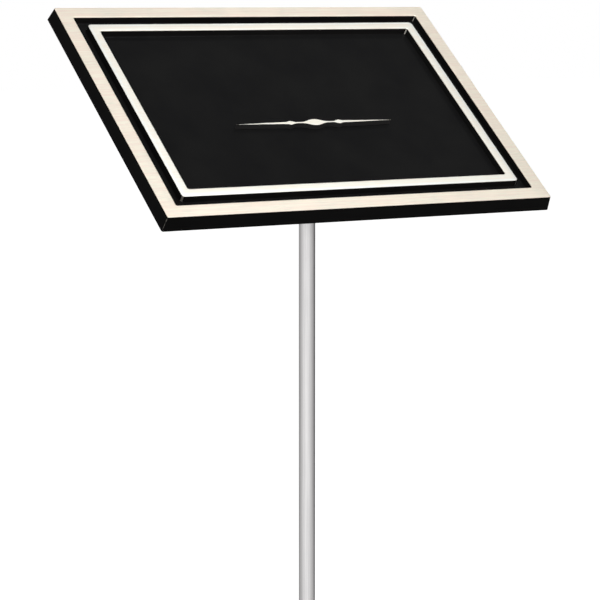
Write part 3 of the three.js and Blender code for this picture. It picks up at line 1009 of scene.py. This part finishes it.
def add_bosses(plaque, sizes, screw_diameter):
    """Four tapped bosses on the back."""
    back = FACE_LEVEL - sizes.plate_thickness
    rooted = back / 2
    radius, fillet = sizes.boss_diameter / 2, sizes.boss_fillet
    boss = [
        (radius - sizes.rim_radius, BOSS_END),
        (radius, BOSS_END + sizes.rim_radius),
        *arc((radius + fillet, back - fillet), fillet, 180, 90),
        (radius + fillet, rooted),
    ]
    hole_radius = screw_diameter / 2 + sizes.tap_gap
    hole = [(hole_radius, BOSS_END - CUT_OVER), (hole_radius, -sizes.tap_floor)]
    for spot in screw_spots():
        combine(plaque, turned("boss", boss, centre=spot), "UNION")
        combine(plaque, turned("hole", hole, centre=spot), "DIFFERENCE")


def inset_by(half, distance):
    return half - Vector((distance, distance))


def finish_casting(piece, sizes, rule):
    """Brushes borders and rule bare, paints sides and back and rubs corners, whose metal spots are also
    painted glints; the rule's sides get lighter enamel as painted fill light and the inner border's
    bevel a paler tone as a painted highlight; recesses stay enamelled.
    """
    back = FACE_LEVEL - sizes.plate_thickness
    rule_y = PLAQUE_CENTRE.y - rule.drop
    face_half = inset_by(PLAQUE_SIZE.xy / 2, sizes.side_draft)
    inner_half = inset_by(face_half, sizes.outer_border + sizes.groove / 2)
    bevel_half = inset_by(inner_half, sizes.groove / 2 + sizes.bevel)

    def within(face, half):
        at = face.calc_center_median() - PLAQUE_CENTRE
        return abs(at.x) < half.x and abs(at.y) < half.y

    def outside(face):
        return face.calc_center_median().z < -sizes.rim_radius or not within(face, face_half)

    def behind(face):
        return face.calc_center_median().z < back + sizes.back_edge

    def corner(face):
        diagonal = min(abs(face.normal.x), abs(face.normal.y)) > DIAGONAL
        return diagonal and abs(face.normal.z) < UPRIGHT and not within(face, face_half / 2)

    def outside_corner(face):
        return corner(face) and outside(face) and abs(face.normal.x) > abs(face.normal.y)

    def recess_corner(face):
        return corner(face) and not outside(face)

    def on_rule(face):
        at = face.calc_center_median()
        return at.z > 0 and abs(at.x) < rule.half_length and abs(at.y - rule_y) < rule.lozenge

    def brushed(face):
        bare = rule.height - rule.bare_depth if on_rule(face) else FACE_LEVEL - sizes.bare_depth
        return face.normal.z > FACING_UP and face.calc_center_median().z > bare

    def polished(face):
        return brushed(face) and within(face, inner_half)

    def bevelled(face):
        return polished(face) and not within(face, bevel_half)

    tests = {
        matt_black: outside,
        cast_back: behind,
        # Outside corners get metal spots: worn paint, and a painted highlight along the edges
        worn_glint_corner: outside_corner,
        # Recess corners get polished metal spots, painted glints
        painted_glint_corner: recess_corner,
        # The rule's sides get a lighter enamel, painted fill light over their shade
        shade_lifted_rule_enamel: on_rule,
        brushed_bronze: brushed,
        polished_bronze: polished,
        # The inner border's bevel gets a paler tone, a painted highlight
        painted_highlight_bevel: bevelled,
    }
    for maker in tests:
        piece.data.materials.append(finished(maker))
    hold(piece)
    bpy.ops.object.mode_set(mode="EDIT")
    for index, test in enumerate(tests.values(), 1):
        pick("FACE", test)
        piece.active_material_index = index
        bpy.ops.object.material_slot_assign()
    bpy.ops.object.mode_set(mode="OBJECT")


class LAWNPLAQUE_OT_plaque(bpy.types.Operator):
    """Models the casting: plate, two borders, panel, divider rule and bosses"""

    bl_idname = "lawnplaque.plaque"
    bl_label = "Plaque"

    def execute(self, context):
        settings = context.scene.lawn_plaque
        plaque = plaque_plate(settings.plaque)
        combine(plaque, divider_rule(settings.rule), "UNION")
        add_bosses(plaque, settings.plaque, settings.socket.screw_diameter)
        dress(plaque, "plaque_casting", "head", finished(black_enamel))
        finish_casting(plaque, settings.plaque, settings.rule)
        place(plaque, PLAQUE_FRAME)
        smooth(plaque)
        return {"FINISHED"}


# Socket


def height_at(level, y):
    """Height over the ground, at the distance y behind the stake's axis, of a level of the plaque."""
    foot = PLAQUE_FRAME.translation
    return foot.z + (level + math.sin(LEAN) * (y - foot.y)) / math.cos(LEAN)


def cut_off(piece, point, normal):
    """Takes away what lies beyond a plane, and closes the cut."""
    hold(piece)
    bpy.ops.object.mode_set(mode="EDIT")
    bpy.ops.mesh.select_all(action="SELECT")
    bpy.ops.mesh.bisect(plane_co=point, plane_no=normal, use_fill=True, clear_outer=True)
    bpy.ops.object.mode_set(mode="OBJECT")


def flange_back(sizes):
    return FLANGE_FRONT - sizes.flange_thickness


def flange_middle(sizes):
    return FLANGE_FRONT - sizes.flange_thickness / 2


def hub_radius(sizes):
    return STAKE_RADIUS + sizes.stake_gap + sizes.hub_wall


def socket_flange(sizes, centre):
    """Plate with round corners that sits on the bosses, in the plaque's frame."""
    width = SOCKET_BOX[1].x - SOCKET_BOX[0].x
    height = 2 * (SOCKET_BOX[1].y - centre.y)
    rows = [
        (width - 2 * inset, height - 2 * inset, level, sizes.flange_corner)
        for inset, level in ((sizes.flange_draft, flange_back(sizes)), (0, FLANGE_FRONT))
    ]
    return stacked_plate("flange", centre, rows)


def socket_hub(sizes):
    """Round hub that flares up to the flange, where it ends on the flange's slant."""
    radius = hub_radius(sizes)
    wide = radius + sizes.hub_flare
    shoulder = height_at(flange_middle(sizes), 0)
    profile = [
        (radius - sizes.hub_chamfer, HUB_MOUTH),
        (radius, HUB_MOUTH + sizes.hub_chamfer),
        (wide, shoulder),
        (wide, height_at(flange_middle(sizes), wide)),
    ]
    hub = turned("hub", profile, STAKE_SIDES)
    cut_off(hub, (0, 0, shoulder), FACE_NORMAL)
    return hub


def socket_web(sizes):
    """Web in the open angle between the hub's back and the flange."""
    radius = hub_radius(sizes)
    inside = radius - sizes.hub_wall / 2
    hub_back = radius + sizes.hub_flare
    reach = hub_back + sizes.web_reach * math.cos(LEAN)
    foot = height_at(flange_back(sizes), hub_back) - sizes.web_drop
    top = height_at(flange_middle(sizes), reach)
    centre = (0, (inside + reach) / 2, (foot + top) / 2)
    web = block("web", centre, (sizes.web_thickness, reach - inside, top - foot))
    cut_off(web, (0, reach, top), FACE_NORMAL)
    rise = height_at(flange_back(sizes), reach) - foot
    cut_off(web, (0, radius, foot), (0, rise, radius - reach))
    return web


def socket_pad(sizes):
    """Section of a faced pad under a washer."""
    radius = sizes.pad_diameter / 2
    level = flange_back(sizes) - sizes.pad_height
    return [(radius - sizes.edge, level), (radius, level + sizes.edge), (radius, flange_middle(sizes))]


def socket_cutters(sizes, spots):
    """Cutters of the socket's holes, one at a time: bore, screw holes and set screw holes."""
    radius = STAKE_RADIUS + sizes.stake_gap
    profile = [
        (radius + sizes.bore_chamfer + CUT_OVER, HUB_MOUTH - CUT_OVER),
        (radius, HUB_MOUTH + sizes.bore_chamfer),
        (radius, HUB_MOUTH + sizes.bore_depth),
    ]
    yield turned("bore", profile, STAKE_SIDES)
    radius = sizes.screw_diameter / 2 + sizes.stake_gap
    start = flange_back(sizes) - sizes.pad_height - CUT_OVER
    for spot in spots:
        hole = turned("hole", [(radius, start), (radius, FLANGE_FRONT + CUT_OVER)], centre=spot)
        place(hole, PLAQUE_FRAME)
        yield hole
    for name in SET_SCREWS:
        low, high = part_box(name)
        radius = (high.x - low.x) / 2 + sizes.stake_gap
        hole = turned("hole", [(radius, 0), (radius, high.y + CUT_OVER)])
        place(hole, sideways(0, middle((low, high)).z))
        yield hole


class LAWNPLAQUE_OT_socket(bpy.types.Operator):
    """Models the angled socket: flange, hub and web in one casting, with faced pads and bores"""

    bl_idname = "lawnplaque.socket"
    bl_label = "Stake socket"

    def execute(self, context):
        sizes = context.scene.lawn_plaque.socket
        spots = screw_spots()

        # Cast in one skin, then faced and drilled
        socket = socket_flange(sizes, sum(spots, Vector((0, 0))) / len(spots))
        for part in (socket_hub(sizes), socket_web(sizes)):
            place(part, PLAQUE_FRAME.inverted())
            combine(socket, part, "UNION")
        finish_with(socket, "REMESH", mode="VOXEL", voxel_size=sizes.cast_blend)
        finish_with(socket, "SMOOTH", factor=SKIN_SOFTNESS, iterations=SKIN_ROUNDS)
        for spot in spots:
            combine(socket, turned("pad", socket_pad(sizes), centre=spot), "UNION")
        place(socket, PLAQUE_FRAME)
        for cutter in socket_cutters(sizes, spots):
            combine(socket, cutter, "DIFFERENCE")
        finish_with(socket, "TRIANGULATE", min_vertices=MANY_SIDED, ngon_method="BEAUTY")
        rename(socket, "socket")
        smooth(socket)
        dress(socket, "stake_socket", "head", finished(cast_aluminium))
        return {"FINISHED"}


# Fasteners


def thread(radius, low, high, pitch):
    """Section of a screw thread, cut as rings."""
    root = radius - pitch / 2
    rings = int((high - low) / pitch)
    for ring in range(rings):
        start = low + ring * pitch
        yield root, start
        yield radius, start + THREAD_FLANK * pitch
        yield radius, start + (1 - THREAD_FLANK) * pitch
    yield root, low + rings * pitch


def key_cutter(sizes, depth):
    """Hexagonal key hole of this depth under its flared mouth at the height 0."""
    radius = sizes.screw_key / math.sqrt(3)
    flare = sizes.edge
    return turned("key", [(radius, -depth), (radius, -flare), (radius + 2 * flare, flare)], HEX_SIDES)


def socket_screw(sizes):
    """One screw on the z axis of the plaque's frame, its domed head down."""
    crown, tip = SCREW_BOX[0].z, SCREW_BOX[1].z
    radius, flat = sizes.screw_diameter / 2, sizes.screw_crown / 2
    head = (SCREW_BOX[1].x - SCREW_BOX[0].x) / 2
    seat = crown + sizes.head_height
    rim = seat - sizes.screw_rim
    quarter = arc((0, 0), 1, 90, 0, DOME_STEPS)
    profile = [
        *((flat + (head - flat) * along, rim - (rim - crown) * up) for along, up in quarter),
        (head, seat - sizes.edge),
        (head - sizes.edge, seat),
        (radius, seat),
        *thread(radius, seat + sizes.screw_plain, tip - sizes.edge, sizes.screw_pitch),
        (radius / 2, tip),
    ]
    screw = turned("first_screw", profile)
    key = key_cutter(sizes, sizes.screw_key_depth)
    place(key, Matrix.Translation((0, 0, crown)) @ Matrix.Rotation(math.pi, 4, "X"))
    combine(screw, key, "DIFFERENCE")
    return screw


def spring_washer(sizes):
    """One spring washer on the z axis of the plaque's frame, with its slanted slit."""
    low, high = WASHER_BOX[0].z, WASHER_BOX[1].z
    outer = (WASHER_BOX[1].y - WASHER_BOX[0].y) / 2
    inner = sizes.screw_diameter / 2 + sizes.stake_gap
    washer = turned("first_washer", [(outer, low), (outer, high)])
    hole = turned("hole", [(inner, low - CUT_OVER), (inner, high + CUT_OVER)])
    combine(washer, hole, "DIFFERENCE")
    slit = block("slit", (outer, 0, 0), (2 * outer, sizes.washer_slit, high - low + 2 * CUT_OVER))
    level = Matrix.Translation((0, 0, (low + high) / 2))
    place(slit, level @ Matrix.Rotation(sizes.washer_slant, 4, "X"))
    combine(washer, slit, "DIFFERENCE")
    break_edges(washer, sizes.edge)
    return washer


def set_screw(sizes):
    """One set screw on the z axis, its point down at the height 0."""
    low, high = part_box(SET_SCREWS[0])
    radius = (high.x - low.x) / 2
    long = high.y - low.y
    profile = [
        (radius - sizes.set_screw_point, 0),
        *thread(radius, sizes.set_screw_point, long - sizes.edge, sizes.set_screw_pitch),
        (radius - sizes.set_screw_end, long),
    ]
    screw = turned("first_set_screw", profile)
    key = key_cutter(sizes, sizes.set_screw_key_depth)
    place(key, Matrix.Translation((0, 0, long)))
    combine(screw, key, "DIFFERENCE")
    return screw


def copies(first, label, places):
    """A copy of the first fastener for each node, at its place, in the first one's stead."""
    for number, (name, matrix) in enumerate(places.items(), 1):
        twin = copy_of(first, f"{label}_{number}", matrix)
        smooth(twin)
        dress(twin, name, "head", finished(turned_steel))
    bpy.data.objects.remove(first)


def on_the_back(name):
    """Place of a screw or washer that was modelled on the z axis of the plaque's frame."""
    return PLAQUE_FRAME @ Matrix.Translation(middle(leaning_box(name)).xy.to_3d())


def in_the_hub(name):
    """Place of a set screw that was modelled on the z axis."""
    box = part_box(name)
    return sideways(box[0].y, middle(box).z)


class LAWNPLAQUE_OT_screws(bpy.types.Operator):
    """Models the four button head screws and their split spring washers"""

    bl_idname = "lawnplaque.screws"
    bl_label = "Screws and washers"

    def execute(self, context):
        sizes = context.scene.lawn_plaque.socket
        copies(socket_screw(sizes), "screw", {name: on_the_back(name) for name in SCREWS})
        copies(spring_washer(sizes), "washer", {name: on_the_back(name) for name in WASHERS})
        return {"FINISHED"}


class LAWNPLAQUE_OT_set_screws(bpy.types.Operator):
    """Models the two set screws that clamp the stake"""

    bl_idname = "lawnplaque.set_screws"
    bl_label = "Set screws"

    def execute(self, context):
        sizes = context.scene.lawn_plaque.socket
        copies(set_screw(sizes), "clamp_screw", {name: in_the_hub(name) for name in SET_SCREWS})
        return {"FINISHED"}


# Stake


class LAWNPLAQUE_OT_stake(bpy.types.Operator):
    """Models the round stake with its ground point"""

    bl_idname = "lawnplaque.stake"
    bl_label = "Ground stake"

    def execute(self, context):
        sizes = context.scene.lawn_plaque.stake
        foot, top = STAKE_BOX[0].z, STAKE_BOX[1].z
        tip = sizes.tip_diameter / 2
        point_start = foot + 2 * tip
        point_end = foot + sizes.point_length
        taper = (STAKE_RADIUS - tip) / (point_end - point_start)
        profile = [
            *arc((tip / 2, foot + tip / 2), tip / 2, 270, 360, TIP_STEPS),
            (tip, point_start),
            (STAKE_RADIUS - taper * sizes.shoulder, point_end - sizes.shoulder),
            (STAKE_RADIUS, point_end + sizes.shoulder),
            (STAKE_RADIUS, top - sizes.top_chamfer),
            (STAKE_RADIUS - sizes.top_chamfer, top),
        ]
        stake = turned("stake", profile, STAKE_SIDES)
        smooth(stake)
        dress(stake, "ground_stake", "stake", finished(drawn_aluminium))
        return {"FINISHED"}


# Studio

WHITE = (1, 1, 1, 1)

# Side of the floor in metres, and width of the camera's frame in millimetres
FLOOR_SIZE = 30
CAMERA_FRAME = 36

# How fast the room's light falls off from its bright side
BRIGHT_FALL = 2

# Where the screen, the ceiling and the floor start and are full: by the cosine of the angle from the
# screen's middle, and by the rise of a direction
FLAG_EDGE = (0.8, 0.97)
CEILING_EDGE = (0.2, 0.8)
FLOOR_EDGE = (-0.3, -0.8)


def area_light(name, watts, size, spot, aim, tint):
    """Square soft light that looks from its spot at its aim."""
    light = bpy.data.lights.new(name, "AREA")
    light.size = size
    light.energy = watts
    light.color = tint
    lamp = bpy.data.objects.new(name, light)
    bpy.context.scene.collection.objects.link(lamp)
    lamp.location = spot
    lamp.rotation_euler = (aim - spot).to_track_quat("-Z", "Y").to_euler()


class LAWNPLAQUE_OT_studio(bpy.types.Operator):
    """Sets the floor, the soft lights, the white room and the camera"""

    bl_idname = "lawnplaque.studio"
    bl_label = "Studio"

    def execute(self, context):
        studio = context.scene.lawn_plaque.studio
        face = PLAQUE_FRAME @ Vector((0, PLAQUE_CENTRE.y, FACE_LEVEL))
        self.floor(context, studio)
        self.room(context, studio)
        self.lights(studio, face)
        self.camera(context, studio, face)
        return {"FINISHED"}

    def floor(self, context, studio):
        """Pale floor that glows evenly, and isn't seen in reflections."""
        deselect()
        bpy.ops.mesh.primitive_plane_add(size=FLOOR_SIZE, location=(0, 0, CAD_BOX[0].z))
        floor = context.object
        floor.name = "studio_floor"
        floor.visible_glossy = False
        floor.visible_diffuse = False
        made, tree, into = new_material("studio_floor", Roughness=1)
        into["Base Color"].default_value = (*studio.floor_tone, 1)
        into["Emission Color"].default_value = WHITE
        into["Emission Strength"].default_value = studio.floor_glow
        floor.data.materials.append(made)

    def room(self, context, studio):
        """White room; lights and reflections get a bright side, a black screen and a dim ceiling."""
        world = bpy.data.worlds.new("studio_room")
        context.scene.world = world
        world.use_nodes = True
        tree = world.node_tree
        tree.nodes.clear()
        direction = node(tree, "ShaderNodeTexCoord").outputs["Generated"]
        rise = node(tree, "ShaderNodeSeparateXYZ", {"Vector": direction}).outputs["Z"]

        def facing(side):
            towards = (math.sin(side), -math.cos(side), 0)
            values = {0: direction, 1: towards}
            return node(tree, "ShaderNodeVectorMath", values, operation="DOT_PRODUCT").outputs["Value"]

        lit = math_node(tree, "POWER", ranged(tree, facing(studio.bright_side), (-1, 1)), BRIGHT_FALL)
        walls = between(tree, lit, studio.room_dark, studio.room_bright)
        walls = between(tree, ranged(tree, facing(studio.flag), FLAG_EDGE), walls, studio.flag_glow)
        above = between(tree, ranged(tree, rise, CEILING_EDGE), walls, studio.room_above)
        strength = between(tree, ranged(tree, rise, FLOOR_EDGE), above, studio.room_below)
        tint = (*studio.room_tint, 1)
        seen = node(tree, "ShaderNodeBackground", {"Color": WHITE}).outputs[0]
        lighting = node(tree, "ShaderNodeBackground", {"Color": tint, "Strength": strength}).outputs[0]
        camera = node(tree, "ShaderNodeLightPath").outputs["Is Camera Ray"]
        shown = node(tree, "ShaderNodeMixShader", {0: camera, 1: lighting, 2: seen}).outputs[0]
        node(tree, "ShaderNodeOutputWorld", {"Surface": shown})
        context.scene.view_settings.view_transform = "Standard"

    def lights(self, studio, face):
        key_spot = face + Vector(studio.key_offset)
        back_spot = face + Vector(studio.back_offset)
        area_light("key", studio.key, studio.key_size, key_spot, face, studio.key_tint)
        area_light("back", studio.back, studio.back_size, back_spot, face, studio.back_tint)

    def camera(self, context, studio, face):
        turn, tilt = studio.azimuth, studio.elevation
        back = Vector(
            (math.sin(turn) * math.cos(tilt), -math.cos(turn) * math.cos(tilt), math.sin(tilt))
        )
        right = Vector((math.cos(turn), math.sin(turn), 0))
        up = back.cross(right)
        lens = bpy.data.cameras.new("camera")
        lens.lens = studio.lens
        lens.sensor_width = CAMERA_FRAME
        camera = bpy.data.objects.new("camera", lens)
        context.scene.collection.objects.link(camera)
        camera.location = face - right * studio.aside - up * studio.drop + back * studio.distance
        camera.rotation_euler = back.to_track_quat("Z", "Y").to_euler()
        context.scene.camera = camera


# Add-on


class LAWNPLAQUE_PT_panel(bpy.types.Panel):
    """Buttons for the pieces, in the order in which they are made"""

    bl_idname = "LAWNPLAQUE_PT_panel"
    bl_label = "Lawn Plaque"
    bl_space_type = "VIEW_3D"
    bl_region_type = "UI"
    bl_category = "Lawn Plaque"

    def draw(self, context):
        column = self.layout.column(align=True)
        for operator in PIECES:
            column.operator(operator.bl_idname)


PIECES = (
    LAWNPLAQUE_OT_studio,
    LAWNPLAQUE_OT_plaque,
    LAWNPLAQUE_OT_socket,
    LAWNPLAQUE_OT_screws,
    LAWNPLAQUE_OT_set_screws,
    LAWNPLAQUE_OT_stake,
)
CLASSES = (
    PlaqueSizes,
    RuleSizes,
    SocketSizes,
    StakeSizes,
    Finishes,
    Studio,
    LawnPlaque,
    *PIECES,
    LAWNPLAQUE_PT_panel,
)


def register():
    for cls in CLASSES:
        bpy.utils.register_class(cls)
    bpy.types.Scene.lawn_plaque = section("Lawn plaque", LawnPlaque)


def unregister():
    del bpy.types.Scene.lawn_plaque
    for cls in reversed(CLASSES):
        bpy.utils.unregister_class(cls)


def main():
    register()
    bpy.ops.lawnplaque.studio()
    bpy.ops.lawnplaque.plaque()
    bpy.ops.lawnplaque.socket()
    bpy.ops.lawnplaque.screws()
    bpy.ops.lawnplaque.set_screws()
    bpy.ops.lawnplaque.stake()


if __name__ == "__main__":
    main()
